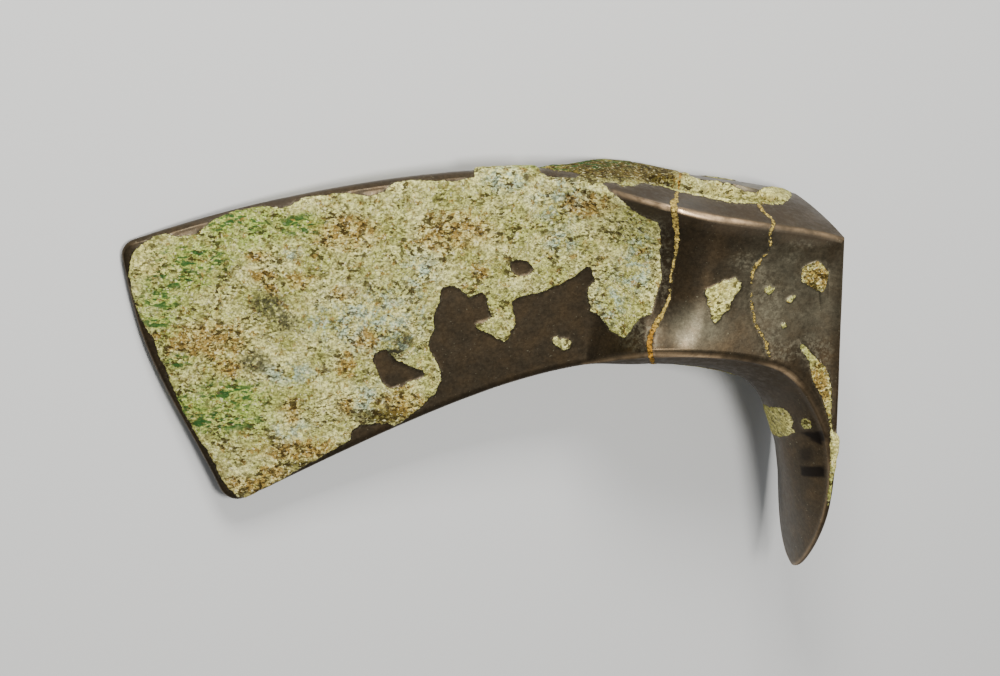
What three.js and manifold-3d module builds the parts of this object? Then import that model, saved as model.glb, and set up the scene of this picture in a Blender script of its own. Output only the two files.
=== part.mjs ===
// A cast bronze axe-adze head of the ancient Near East, in millimetres, lying on its side.
//
// The head is drawn in its own plane first: x runs from the blade to the adze, y runs up
// along the shaft hole, and z is the width, with z = 0 in the middle of the casting. The
// two profile lines of that plane, a top line and an under line, are joined by sections.
// The shaft hole is cut through, and the head is then laid down on one side, where it
// rests on the upper corner of its cutting edge and on the socket's two flared corners.

import * as THREE from 'three';
import { LoftGeometry } from 'three/addons/geometries/LoftGeometry.js';
import { ConvexHull } from 'three/addons/math/ConvexHull.js';
import { mergeVertices } from 'three/addons/utils/BufferGeometryUtils.js';
import Module from 'manifold-3d';

// Driving dimensions of the blade, with places measured from the middle of the shaft hole
const BLADE_REACH = 186.5;        // hole axis to the upper corner of the cutting edge
const EDGE_CORNER_RISE = 9;       // that corner's height above the hole's middle
const EDGE_LENGTH = 91;           // cutting edge, corner to corner
const EDGE_SLANT = 25.4;          // degrees that it leans from the hole axis
const EDGE_BOW = 3.6;             // rise of its middle over a straight line
const EDGE_THICKNESS = 1.6;       // worn cutting edge
const BEVEL_LENGTH = 16;          // ground zone behind the cutting edge
const BEVEL_THICKNESS = 5;        // blade where the ground zone ends
const BLADE_ROOT_THICKNESS = 8;   // blade where it meets the socket
const UPPER_CORNER_RADIUS = 5;    // rounding of the cutting edge's upper corner
const LOWER_CORNER_RADIUS = 7;    // rounding of the cutting edge's lower corner
const BLADE_EDGE_CROWN = 1.3;     // rounding of the blade's long edges

// Driving dimensions of the socket
const SOCKET_WIDTH = 45;          // full width across the socket and the adze
const SOCKET_BACK = 24;           // hole axis to where the socket is at full width
const SOCKET_BACK_RISE = 30.4;    // top face there, above the hole's middle
const SHOULDER_REACH = 34.9;      // hole axis to the shoulder, where the adze turns down
const SHOULDER_RISE = 20.1;       // shoulder above the hole's middle
const UNDERSIDE_DROP = 27.4;      // underside below the hole's middle
const RIDGE_FLARE = 44;           // length over which the top ridges flare out of the blade
const LIP_FLARE = 15;             // length over which the lower lips flare out
const WALL_FLARE = 32;            // length over which the side walls swell out between them
const WALL_LAG = 20;              // how far past the ridges' flare that swelling ends
const SOCKET_CROWN = 2.2;         // extra rise of the top face's middle over its ridges
const SHOULDER_CROWN = 0.8;       // rise of the shoulder's middle over its ends
const SOCKET_KEEL = 9;            // underside, depth of its middle below its lips
const WAIST = 2.6;                // hollow of the side walls between ridge and lip
const RIDGE_SKEW = 1.7;           // how much lower the near ridge stands than the far one
const RIDGE_BEVEL = 1.2;          // blunted top ridges
const LIP_BEVEL = 1.6;            // rolled lower lips

// Driving dimensions of the adze
const ADZE_REACH = 43.4;          // hole axis to the adze's tip
const ADZE_DROP = 99.1;           // hole's middle down to the adze's tip
const ADZE_TIP_THICKNESS = 1.2;   // worn tip
const ADZE_EDGE = 1.1;            // thickness along the adze's sides
const ADZE_CROWN = 1;             // outer face, rise of its middle over its sides
const ADZE_KEEL = 11.4;           // inner face, depth of its middle rib in the bend
const ADZE_POINT_LENGTH = 41;     // rounded point, from full width down to the tip
const ADZE_POINT_DRIFT = 3.4;     // how far the worn point has moved to one side
const BEND_REACH = 16.7;          // hole axis to the start of the bend, on the underside
const BEND_DROP = 34.5;           // hole's middle down to the start of the bend

// Driving dimensions of the oval shaft hole
const HOLE_TOP_LENGTH = 45;
const HOLE_TOP_WIDTH = 18.5;
const HOLE_BOTTOM_LENGTH = 28;
const HOLE_BOTTOM_WIDTH = 15.5;
const HOLE_CLEARANCE = 12;        // how far the plug that cuts it stands past both faces

// Directions of the profile lines at their ends, in degrees, and how far each end holds
// its direction, as a share of the distance between the two ends
const BLADE_TOP_BOW = [ 20.5, 0.302, - 10.3, 0.307 ];
const BLADE_UNDER_BOW = [ 25.6, 0.334, 1.4, 0.302 ];
const SOCKET_TOP_BOW = [ - 8, 0.3, - 22.4, 0.35 ];
const SOCKET_UNDER_BOW = [ 1.7, 0.422, - 36.2, 0.199 ];
const ADZE_OUTER_BOW = [ - 83.9, 0.342, - 89, 0.328 ];
const ADZE_INNER_BOW = [ - 34.4, 0.234, - 76.4, 0.418 ];

// Character of the surfaces between the named sizes
const WALL_HOLLOWNESS = 3.5;      // how close to ridge and lip the walls' flare keeps
const FLARE_DELAY = 1.4;          // how late the ridges' flare gathers
const EDGE_BOW_FADE = 3;          // how fast the cutting edge's bow fades along the blade
const EDGE_BOW_LEAN = 1.4;        // over 1 puts the bow's middle nearer the upper corner
const ADZE_FAN = 0.6;             // how far the outer line runs ahead of the inner in the bend
const POINT_ROUNDNESS = 1.65;     // from 1, a straight taper, to 2, an ellipse
const POINT_DRIFT_START = 0.25;   // share of the point at which its drift begins
const WAIST_END = 0.3;            // share of the adze at which the hollow walls have run out
const SOFT_REACH = 4;             // rounded change from the bend's rib to the adze's point

// Fineness of the faceted surface
const BLADE_STATIONS = 34;
const SOCKET_STATIONS = 16;
const ADZE_STATIONS = 30;
const ARCH_STEPS = 6;
const WALL_STEPS = 8;
const HOLE_SIDES = 48;

const { lerp, clamp, smoothstep, degToRad } = THREE.MathUtils;
const HALF_WIDTH = SOCKET_WIDTH / 2;

// Corners of the profile
const edgeTop = new THREE.Vector2( - BLADE_REACH, EDGE_CORNER_RISE );
const edgeFoot = new THREE.Vector2(
	edgeTop.x + EDGE_LENGTH * Math.sin( degToRad( EDGE_SLANT ) ),
	edgeTop.y - EDGE_LENGTH * Math.cos( degToRad( EDGE_SLANT ) ) );
const backTop = new THREE.Vector2( - SOCKET_BACK, SOCKET_BACK_RISE );
const backUnder = new THREE.Vector2( - SOCKET_BACK, - UNDERSIDE_DROP );
const shoulder = new THREE.Vector2( SHOULDER_REACH, SHOULDER_RISE );
const bend = new THREE.Vector2( BEND_REACH, - BEND_DROP );
const tipOuter = new THREE.Vector2( ADZE_REACH, - ADZE_DROP );
const tipInner = new THREE.Vector2( ADZE_REACH - ADZE_TIP_THICKNESS, - ADZE_DROP );

// A profile line from start to end that leaves and arrives in the bow's two directions
function profileLine( start, end, [ startAngle, startHold, endAngle, endHold ] ) {

	const span = start.distanceTo( end );
	const step = ( angle, length ) => new THREE.Vector2(
		Math.cos( degToRad( angle ) ) * length, Math.sin( degToRad( angle ) ) * length );
	return new THREE.CubicBezierCurve( start, start.clone().add( step( startAngle, startHold * span ) ),
		end.clone().sub( step( endAngle, endHold * span ) ), end );

}

const bladeTopLine = profileLine( edgeTop, backTop, BLADE_TOP_BOW );
const bladeUnderLine = profileLine( edgeFoot, backUnder, BLADE_UNDER_BOW );
const socketTopLine = profileLine( backTop, shoulder, SOCKET_TOP_BOW );
const socketUnderLine = profileLine( backUnder, bend, SOCKET_UNDER_BOW );
const adzeOuterLine = profileLine( shoulder, tipOuter, ADZE_OUTER_BOW );
const adzeInnerLine = profileLine( bend, tipInner, ADZE_INNER_BOW );

// Smaller of two values with a rounded change-over
function softMin( a, b, reach ) {

	const blend = Math.max( reach - Math.abs( a - b ), 0 ) / reach;
	return Math.min( a, b ) - blend * blend * reach / 4;

}

// How far a rounded corner of the given radius draws back at a distance from the edge
function cornerSetback( radius, distance ) {

	const inside = Math.max( radius - distance, 0 );
	return radius - Math.sqrt( radius * radius - inside * inside );

}

// A section's measures at share t of the blade: its two end points in the profile plane,
// its half widths at ridge, wall and lip, and the depths of its crown and its keel
function bladeSection( t ) {

	const top = bladeTopLine.getPointAt( t );
	const under = bladeUnderLine.getPointAt( t );
	const along = top.clone().sub( under ).normalize();
	const fromEdge = t * ( BLADE_REACH - SOCKET_BACK );
	top.addScaledVector( along, - cornerSetback( UPPER_CORNER_RADIUS, fromEdge ) );
	under.addScaledVector( along, cornerSetback( LOWER_CORNER_RADIUS, fromEdge ) );

	const bevel = Math.min( fromEdge / BEVEL_LENGTH, 1 );
	const plain = lerp( lerp( EDGE_THICKNESS, BEVEL_THICKNESS, Math.sqrt( bevel ) ),
		BLADE_ROOT_THICKNESS, t ) / 2;
	const toSocket = top.x + SOCKET_BACK;
	const toSocketUnder = under.x + SOCKET_BACK;
	const ridgeFlare = smoothstep( Math.pow( clamp( 1 + toSocket / RIDGE_FLARE, 0, 1 ), FLARE_DELAY ), 0, 1 );
	const lipFlare = smoothstep( toSocketUnder, - LIP_FLARE, 0 );
	const wallFlare = smoothstep( toSocket, WALL_LAG - WALL_FLARE, WALL_LAG );
	return {
		top, under,
		ridge: lerp( plain, HALF_WIDTH, ridgeFlare ),
		lip: lerp( plain, HALF_WIDTH, lipFlare ),
		wall: lerp( plain, HALF_WIDTH - WAIST, wallFlare ),
		crown: BLADE_EDGE_CROWN,
		keel: lerp( BLADE_EDGE_CROWN, SOCKET_KEEL, lipFlare ),
		bow: EDGE_BOW * Math.pow( 1 - t, EDGE_BOW_FADE ),
		skew: RIDGE_SKEW
	};

}

// The same at share t of the socket
function socketSection( t ) {

	const top = socketTopLine.getPointAt( t );
	const under = socketUnderLine.getPointAt( t );
	const wallFlare = smoothstep( top.x + SOCKET_BACK, WALL_LAG - WALL_FLARE, WALL_LAG );
	return {
		top, under, ridge: HALF_WIDTH, lip: HALF_WIDTH,
		wall: lerp( BLADE_ROOT_THICKNESS / 2, HALF_WIDTH - WAIST, wallFlare ),
		crown: lerp( BLADE_EDGE_CROWN, SHOULDER_CROWN, t ) + SOCKET_CROWN * Math.sin( Math.PI * t ),
		keel: lerp( SOCKET_KEEL, ADZE_KEEL, t * t ),
		skew: RIDGE_SKEW
	};

}

// The same at share t of the adze, where the sections fan round the bend
function adzeSection( t ) {

	const top = adzeOuterLine.getPointAt( Math.pow( t, ADZE_FAN ) );
	const under = adzeInnerLine.getPointAt( t );
	const crown = lerp( SHOULDER_CROWN, ADZE_CROWN, Math.min( t / WAIST_END, 1 ) ) * ( 1 - t * t / 2 );
	const room = top.distanceTo( under ) - crown - ADZE_EDGE;
	const toPoint = clamp( ( ADZE_POINT_LENGTH - ADZE_DROP - top.y ) / ADZE_POINT_LENGTH, 0, 1 );
	const half = HALF_WIDTH * Math.pow( 1 - Math.pow( toPoint, POINT_ROUNDNESS ), 1 / POINT_ROUNDNESS );
	return {
		top, under, ridge: half, lip: half,
		wall: half - WAIST * Math.max( 1 - t / WAIST_END, 0 ),
		crown, keel: Math.max( softMin( ADZE_KEEL, room, SOFT_REACH ), 0 ),
		drift: - ADZE_POINT_DRIFT * smoothstep( toPoint, POINT_DRIFT_START, 1 ),
		skew: RIDGE_SKEW * ( 1 - smoothstep( t, 0, WAIST_END ) )
	};

}

// The closed ring of points of one section. It starts in the middle of the underside and
// runs up one side over the lip, the hollow wall and the ridge to the middle of the top.
function sectionRing( { top, under, ridge, wall, lip, crown, keel, skew, bow = 0, drift = 0 } ) {

	const length = top.distanceTo( under );
	const along = top.clone().sub( under ).divideScalar( length );
	const wallHeight = length - crown - keel;
	const side = [];
	for ( let i = 0; i <= ARCH_STEPS; i ++ ) {

		const share = i / ARCH_STEPS * ( 1 - Math.min( LIP_BEVEL / lip, 0.4 ) );
		side.push( [ keel * share * share, lip * share ] );

	}

	const lipBevel = Math.min( LIP_BEVEL, wallHeight / 4 ) / wallHeight;
	const ridgeBevel = Math.min( RIDGE_BEVEL, wallHeight / 4 ) / wallHeight;
	for ( let i = 0; i <= WALL_STEPS; i ++ ) {

		const share = lerp( lipBevel, 1 - ridgeBevel, ( 1 - Math.cos( Math.PI * i / WALL_STEPS ) ) / 2 );
		const z = wall + ( ridge - wall ) * Math.pow( share, WALL_HOLLOWNESS )
			+ ( lip - wall ) * Math.pow( 1 - share, WALL_HOLLOWNESS );
		side.push( [ keel + wallHeight * share, z ] );

	}

	for ( let i = ARCH_STEPS; i >= 0; i -- ) {

		const share = i / ARCH_STEPS * ( 1 - Math.min( RIDGE_BEVEL / ridge, 0.4 ) );
		side.push( [ length - crown * share * share, ridge * share ] );

	}

	const point = ( u, z ) => {

		const share = u / length;
		const height = u - skew / 2 * z / HALF_WIDTH * share * share;
		const out = bow * Math.sin( Math.PI * Math.pow( share, EDGE_BOW_LEAN ) );
		return new THREE.Vector3( under.x + along.x * height - along.y * out,
			under.y + along.y * height + along.x * out, z + drift );

	};

	const ring = side.map( ( [ u, z ] ) => point( u, - z ) );
	for ( let i = side.length - 2; i > 0; i -- ) ring.push( point( side[ i ][ 0 ], side[ i ][ 1 ] ) );
	return ring;

}

// All sections from the cutting edge to the adze's tip, closest together at both ends
const sections = [];
for ( let i = 0; i < BLADE_STATIONS; i ++ ) {

	const share = i / BLADE_STATIONS;
	const nearEdge = share * share;
	sections.push( bladeSection( lerp( nearEdge, share, smoothstep( share, 0, 0.5 ) ) ) );

}

for ( let i = 0; i < SOCKET_STATIONS; i ++ ) sections.push( socketSection( i / SOCKET_STATIONS ) );
for ( let i = 0; i < ADZE_STATIONS; i ++ ) {

	sections.push( adzeSection( Math.sin( i / ADZE_STATIONS * Math.PI / 2 ) ) );

}

const body = new LoftGeometry( sections.map( sectionRing ), { capStart: true, capEnd: true } );

// The oval hole, drawn as a tapered plug that stands clear of both faces
const holeTop = ( SOCKET_BACK_RISE + SHOULDER_RISE ) / 2;
const holeRings = [ - UNDERSIDE_DROP - HOLE_CLEARANCE, holeTop + HOLE_CLEARANCE ].map( ( y ) => {

	const share = ( y + UNDERSIDE_DROP ) / ( holeTop + UNDERSIDE_DROP );
	const halfLength = lerp( HOLE_BOTTOM_LENGTH, HOLE_TOP_LENGTH, share ) / 2;
	const halfWidth = lerp( HOLE_BOTTOM_WIDTH, HOLE_TOP_WIDTH, share ) / 2;
	return Array.from( { length: HOLE_SIDES }, ( _, i ) => {

		const angle = - i / HOLE_SIDES * Math.PI * 2;
		return new THREE.Vector3( Math.cos( angle ) * halfLength, y, Math.sin( angle ) * halfWidth );

	} );

} );
const plug = new LoftGeometry( holeRings, { capStart: true, capEnd: true } );

// Cutting with manifold-3d
const wasm = await Module();
wasm.setup();

function toSolid( geometry ) {

	const bare = new THREE.BufferGeometry();
	bare.setAttribute( 'position', geometry.attributes.position );
	bare.setIndex( geometry.index );
	const merged = mergeVertices( bare, 1e-4 );
	return new wasm.Manifold( new wasm.Mesh( {
		numProp: 3,
		vertProperties: new Float32Array( merged.attributes.position.array ),
		triVerts: new Uint32Array( merged.index.array )
	} ) );

}

function toGeometry( solid ) {

	const mesh = solid.getMesh();
	const geometry = new THREE.BufferGeometry();
	geometry.setAttribute( 'position', new THREE.BufferAttribute( mesh.vertProperties, 3 ) );
	geometry.setIndex( new THREE.BufferAttribute( mesh.triVerts, 1 ) );
	geometry.computeVertexNormals();
	return geometry;

}

const head = toGeometry( toSolid( body ).subtract( toSolid( plug ) ) );

// Middle of the mass that a closed surface holds, from the tetrahedra under its triangles
function massCentre( geometry ) {

	const { position } = geometry.attributes;
	const centre = new THREE.Vector3();
	let volume = 0;
	for ( let i = 0; i < geometry.index.count; i += 3 ) {

		const [ a, b, c ] = [ 0, 1, 2 ].map( ( corner ) =>
			new THREE.Vector3().fromBufferAttribute( position, geometry.index.getX( i + corner ) ) );
		const part = a.dot( b.clone().cross( c ) ) / 6;
		centre.addScaledVector( a.add( b ).add( c ), part / 4 );
		volume += part;

	}

	return centre.divideScalar( volume );

}

// The direction that faces the ground once the head is laid on its far side: the outward
// normal of the face of its hull that the middle of mass stands over
function groundward( geometry ) {

	const { position } = geometry.attributes;
	const points = Array.from( { length: position.count }, ( _, i ) =>
		new THREE.Vector3().fromBufferAttribute( position, i ) );
	const centre = massCentre( geometry );
	const carrying = new ConvexHull().setFromPoints( points ).faces.filter( ( face ) => {

		const corners = [ 0, 1, 2 ].map( ( i ) => face.getEdge( i ).head().point );
		return new THREE.Triangle( ...corners ).containsPoint( centre );

	} );
	return carrying.reduce( ( best, face ) => face.normal.z < best.normal.z ? face : best ).normal;

}

const down = new THREE.Vector3( 0, 0, - 1 );
head.applyQuaternion( new THREE.Quaternion().setFromUnitVectors( groundward( head ), down ) );
head.computeBoundingBox();
const middle = head.boundingBox.getCenter( new THREE.Vector3() );
head.translate( - middle.x, - middle.y, - head.boundingBox.min.z );

const bronze = new THREE.MeshStandardMaterial( { color: 0x4b3f36, roughness: 0.45, metalness: 1 } );
const axeHead = new THREE.Mesh( head, bronze );
axeHead.name = 'axe_head';

const model = new THREE.Group();
model.add( axeHead );

export default model;
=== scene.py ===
# %% [markdown]
# # A bronze axe-adze head, lying on a pale table
#
# The object is one casting: a broad blade on the left, a socket with an oval shaft hole in
# the middle, and an adze that bends down on the right. It was buried for a very long time,
# so most of the blade carries a pale porous crust, and the metal between is dark and satin.
#
# The CAD model gives the exact place and size. Here the same shape is drawn again with a
# much finer mesh, because the crust, its chipped edges and the two cracks are real relief.

import math

import bmesh
import bpy
import numpy as np
from mathutils import Matrix, Vector, noise
from mathutils.bvhtree import BVHTree
from mathutils.kdtree import KDTree


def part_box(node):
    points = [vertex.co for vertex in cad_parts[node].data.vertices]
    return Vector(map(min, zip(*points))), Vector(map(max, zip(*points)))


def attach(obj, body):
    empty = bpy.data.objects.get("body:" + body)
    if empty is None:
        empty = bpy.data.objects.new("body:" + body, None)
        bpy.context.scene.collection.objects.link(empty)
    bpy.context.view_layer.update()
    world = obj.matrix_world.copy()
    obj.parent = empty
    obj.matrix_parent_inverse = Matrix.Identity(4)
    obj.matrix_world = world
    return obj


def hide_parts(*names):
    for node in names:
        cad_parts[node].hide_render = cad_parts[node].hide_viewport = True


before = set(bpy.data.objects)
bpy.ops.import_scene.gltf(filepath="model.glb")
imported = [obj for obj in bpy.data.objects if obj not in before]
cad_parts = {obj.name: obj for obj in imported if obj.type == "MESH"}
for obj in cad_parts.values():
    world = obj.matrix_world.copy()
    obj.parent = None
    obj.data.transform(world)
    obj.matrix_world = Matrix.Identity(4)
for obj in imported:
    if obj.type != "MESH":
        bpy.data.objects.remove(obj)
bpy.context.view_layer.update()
MM = 0.001

# %% [markdown]
# ## The camera
#
# The photograph was taken with a long lens, from above the blade's end and a little from
# the side of the shaft hole's upper opening. A camera is a point, three directions and a
# focal length, so these are kept as values: later cells use the same camera to find which
# pixel of the photograph a point of the surface is seen at.

# %% Camera
IMAGE_WIDTH, IMAGE_HEIGHT = 1000, 676
EYE = np.array([-457.64, 343.86, 957.33])
LOOK_AT = np.array([10.46, 8.3, 3.48])
IMAGE_UP = np.array([0.0448, 0.9491, -0.3119])
FOCAL_PIXELS = 3604.8
SENSOR_WIDTH = 36.0

TO_CAMERA = (EYE - LOOK_AT) / np.linalg.norm(EYE - LOOK_AT)
IMAGE_RIGHT = np.cross(IMAGE_UP, TO_CAMERA)
IMAGE_RIGHT /= np.linalg.norm(IMAGE_RIGHT)
IMAGE_UP = np.cross(TO_CAMERA, IMAGE_RIGHT)

camera_data = bpy.data.cameras.new("camera")
camera_data.sensor_width = SENSOR_WIDTH
camera_data.lens = FOCAL_PIXELS / IMAGE_WIDTH * SENSOR_WIDTH
camera_data.clip_start, camera_data.clip_end = 0.05, 10
camera = bpy.data.objects.new("camera", camera_data)
turn = Matrix([IMAGE_RIGHT, IMAGE_UP, TO_CAMERA]).transposed().to_4x4()
camera.matrix_world = Matrix.Translation(Vector(EYE * MM)) @ turn
bpy.context.scene.collection.objects.link(camera)
bpy.context.scene.camera = camera


def photo_pixel(points):
    """Where points of the row frame, in mm, are seen in the photograph."""
    seen = points - EYE
    depth = -seen @ TO_CAMERA
    across = IMAGE_WIDTH / 2 + FOCAL_PIXELS * (seen @ IMAGE_RIGHT) / depth
    down = IMAGE_HEIGHT / 2 - FOCAL_PIXELS * (seen @ IMAGE_UP) / depth
    return np.stack([across, down], 1)


print("lens", round(camera_data.lens, 1), "mm")

# %% [markdown]
# ## The casting's sizes
#
# These are the CAD model's own sizes in millimetres. x runs from the blade to the adze, y
# runs up along the shaft hole and z is the width. All places are measured from the middle
# of the shaft hole.

# %% Sizes
BLADE_REACH, EDGE_CORNER_RISE = 186.5, 9
EDGE_LENGTH, EDGE_SLANT, EDGE_BOW = 91, 25.4, 3.6
EDGE_THICKNESS, BEVEL_LENGTH, BEVEL_THICKNESS, BLADE_ROOT_THICKNESS = 1.6, 16, 5, 8
UPPER_CORNER_RADIUS, LOWER_CORNER_RADIUS, BLADE_EDGE_CROWN = 5, 7, 1.3
SOCKET_WIDTH, SOCKET_BACK, SOCKET_BACK_RISE = 45, 24, 30.4
SHOULDER_REACH, SHOULDER_RISE, UNDERSIDE_DROP = 34.9, 20.1, 27.4
RIDGE_FLARE, LIP_FLARE, WALL_FLARE, WALL_LAG = 44, 15, 32, 20
SOCKET_CROWN, SHOULDER_CROWN, SOCKET_KEEL, WAIST = 2.2, 0.8, 9, 2.6
RIDGE_SKEW, RIDGE_ROUNDING, LIP_ROUNDING = 1.7, 1.8, 1.6
ADZE_REACH, ADZE_DROP, ADZE_TIP_THICKNESS, ADZE_EDGE = 43.4, 99.1, 1.2, 1.1
ADZE_CROWN, ADZE_KEEL, ADZE_POINT_LENGTH, ADZE_POINT_DRIFT = 1, 11.4, 41, 3.4
BEND_REACH, BEND_DROP = 16.7, 34.5
HOLE_TOP_LENGTH, HOLE_TOP_WIDTH = 45, 18.5
HOLE_BOTTOM_LENGTH, HOLE_BOTTOM_WIDTH = 28, 15.5
WALL_HOLLOWNESS, FLARE_DELAY, EDGE_BOW_FADE, EDGE_BOW_LEAN, NOSE_START = 3.5, 1.4, 3, 1.4, 0.02
ADZE_FAN, POINT_ROUNDNESS, POINT_DRIFT_START, WAIST_END, SOFT_REACH = 0.6, 1.65, 0.25, 0.3, 4
HALF_WIDTH = SOCKET_WIDTH / 2

# %% [markdown]
# ## Profile lines
#
# A founder would cut two templates: the line along the top of the head and the line along
# its underside. Each is three smooth curves end to end. A cubic curve does this with two
# end points, a direction at each end and how far it holds that direction.

# %% Profile lines
def direction(degrees):
    return np.array([math.cos(math.radians(degrees)), math.sin(math.radians(degrees))])


def profile_line(start, end, start_angle, start_hold, end_angle, end_hold):
    """A curve as a function of the share of its length."""
    start, end = np.array(start, float), np.array(end, float)
    span = np.linalg.norm(end - start)
    first = start + direction(start_angle) * start_hold * span
    last = end - direction(end_angle) * end_hold * span
    t = np.linspace(0, 1, 201)[:, None]
    line = ((1 - t) ** 3 * start + 3 * (1 - t) ** 2 * t * first
            + 3 * (1 - t) * t ** 2 * last + t ** 3 * end)
    steps = np.linalg.norm(np.diff(line, axis=0), axis=1)
    run = np.concatenate([[0], np.cumsum(steps)])

    def at(share):
        where = np.interp(share, run / run[-1], t[:, 0])[:, None]
        return ((1 - where) ** 3 * start + 3 * (1 - where) ** 2 * where * first
                + 3 * (1 - where) * where ** 2 * last + where ** 3 * end)

    return at


EDGE_TOP = (-BLADE_REACH, EDGE_CORNER_RISE)
EDGE_FOOT = (EDGE_TOP[0] + EDGE_LENGTH * math.sin(math.radians(EDGE_SLANT)),
             EDGE_TOP[1] - EDGE_LENGTH * math.cos(math.radians(EDGE_SLANT)))
BACK_TOP, BACK_UNDER = (-SOCKET_BACK, SOCKET_BACK_RISE), (-SOCKET_BACK, -UNDERSIDE_DROP)
SHOULDER, BEND = (SHOULDER_REACH, SHOULDER_RISE), (BEND_REACH, -BEND_DROP)
TIP_OUTER, TIP_INNER = (ADZE_REACH, -ADZE_DROP), (ADZE_REACH - ADZE_TIP_THICKNESS, -ADZE_DROP)

blade_top = profile_line(EDGE_TOP, BACK_TOP, 20.5, 0.302, -10.3, 0.307)
blade_under = profile_line(EDGE_FOOT, BACK_UNDER, 25.6, 0.334, 1.4, 0.302)
socket_top = profile_line(BACK_TOP, SHOULDER, -8, 0.3, -22.4, 0.35)
socket_under = profile_line(BACK_UNDER, BEND, 1.7, 0.422, -36.2, 0.199)
adze_outer = profile_line(SHOULDER, TIP_OUTER, -83.9, 0.342, -89, 0.328)
adze_inner = profile_line(BEND, TIP_INNER, -34.4, 0.234, -76.4, 0.418)
print("middle of the blade's top line", blade_top(np.array([0.5]))[0].round(1))

# %% [markdown]
# ## Sections
#
# Between the two lines the head is a row of closed sections, from the cutting edge to the
# adze's tip. Each has a half width at the top ridge, at the hollow wall and at the lower
# lip, a crown over its top and a keel under it. NumPy works all sections out at once.

# %% Section measures
def smooth(x, low, high):
    t = np.clip((x - low) / (high - low), 0, 1)
    return t * t * (3 - 2 * t)


def mix(a, b, t):
    return a + (b - a) * t


def corner_setback(radius, distance):
    inside = np.maximum(radius - distance, 0)
    return radius - np.sqrt(radius ** 2 - inside ** 2)


def unit(v):
    return v / np.linalg.norm(v, axis=1, keepdims=True)


def blade_sections(t):
    top, under = blade_top(t), blade_under(t)
    along = unit(top - under)
    from_edge = t * (BLADE_REACH - SOCKET_BACK)
    top = top - along * corner_setback(UPPER_CORNER_RADIUS, from_edge)[:, None]
    under = under + along * corner_setback(LOWER_CORNER_RADIUS, from_edge)[:, None]
    bevel = np.minimum(from_edge / BEVEL_LENGTH, 1)
    nose = EDGE_THICKNESS / 2
    rounded = np.sqrt(1 - np.clip(1 - (from_edge + NOSE_START) / nose, 0, 1) ** 2)
    plain = rounded * mix(mix(EDGE_THICKNESS, BEVEL_THICKNESS, np.sqrt(bevel)),
                          BLADE_ROOT_THICKNESS, t) / 2
    to_socket, to_socket_under = top[:, 0] + SOCKET_BACK, under[:, 0] + SOCKET_BACK
    gathered = np.clip(1 + to_socket / RIDGE_FLARE, 0, 1) ** FLARE_DELAY
    lip_flare = smooth(to_socket_under, -LIP_FLARE, 0)
    wall_flare = smooth(to_socket, WALL_LAG - WALL_FLARE, WALL_LAG)
    return dict(top=top, under=under, ridge=mix(plain, HALF_WIDTH, smooth(gathered, 0, 1)),
                lip=mix(plain, HALF_WIDTH, lip_flare),
                wall=mix(plain, HALF_WIDTH - WAIST, wall_flare),
                crown=BLADE_EDGE_CROWN + 0 * t,
                keel=mix(BLADE_EDGE_CROWN, SOCKET_KEEL, lip_flare),
                bow=EDGE_BOW * (1 - t) ** EDGE_BOW_FADE, drift=0 * t, skew=RIDGE_SKEW + 0 * t)


def socket_sections(t):
    top, under = socket_top(t), socket_under(t)
    wall_flare = smooth(top[:, 0] + SOCKET_BACK, WALL_LAG - WALL_FLARE, WALL_LAG)
    crown = mix(BLADE_EDGE_CROWN, SHOULDER_CROWN, t) + SOCKET_CROWN * np.sin(math.pi * t)
    return dict(top=top, under=under, ridge=HALF_WIDTH + 0 * t, lip=HALF_WIDTH + 0 * t,
                wall=mix(BLADE_ROOT_THICKNESS / 2, HALF_WIDTH - WAIST, wall_flare),
                crown=crown, keel=mix(SOCKET_KEEL, ADZE_KEEL, t * t), bow=0 * t, drift=0 * t,
                skew=RIDGE_SKEW + 0 * t)


def adze_sections(t):
    top, under = adze_outer(t ** ADZE_FAN), adze_inner(t)
    crown = mix(SHOULDER_CROWN, ADZE_CROWN, np.minimum(t / WAIST_END, 1)) * (1 - t * t / 2)
    room = np.linalg.norm(top - under, axis=1) - crown - ADZE_EDGE
    to_point = np.clip((ADZE_POINT_LENGTH - ADZE_DROP - top[:, 1]) / ADZE_POINT_LENGTH, 0, 1)
    half = HALF_WIDTH * (1 - to_point ** POINT_ROUNDNESS) ** (1 / POINT_ROUNDNESS)
    blend = np.maximum(SOFT_REACH - np.abs(ADZE_KEEL - room), 0) / SOFT_REACH
    keel = np.maximum(np.minimum(ADZE_KEEL, room) - blend ** 2 * SOFT_REACH / 4, 0)
    return dict(top=top, under=under, ridge=half, lip=half,
                wall=half - WAIST * np.maximum(1 - t / WAIST_END, 0), crown=crown, keel=keel,
                bow=0 * t, drift=-ADZE_POINT_DRIFT * smooth(to_point, POINT_DRIFT_START, 1),
                skew=RIDGE_SKEW * (1 - smooth(t, 0, WAIST_END)))


middle = np.array([0.5])
print("half widths at the blade's middle",
      {k: round(float(blade_sections(middle)[k][0]), 2) for k in ("ridge", "wall", "lip")})


# %% [markdown]
# ## The fine mesh
#
# One closed ring of points per section, with the side that faces the camera drawn finer
# than the far side. The sections stand closest at the cutting edge and at the adze's
# point. Ridges and lips get a small rounded corner of a few points, so that they catch a
# thin line of light as worn bronze does.

# %% Rings
BLADE_STATIONS, SOCKET_STATIONS, ADZE_STATIONS = 240, 84, 120
NEAR_STEPS = dict(arch=18, corner=6, wall=94)
FAR_STEPS = dict(arch=12, corner=4, wall=38)
WALL_EASING, EDGE_CROWDING, CROWDED_SHARE, LAST_ADZE_SECTION = 0.55, 2.2, 0.12, 0.985


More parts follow.
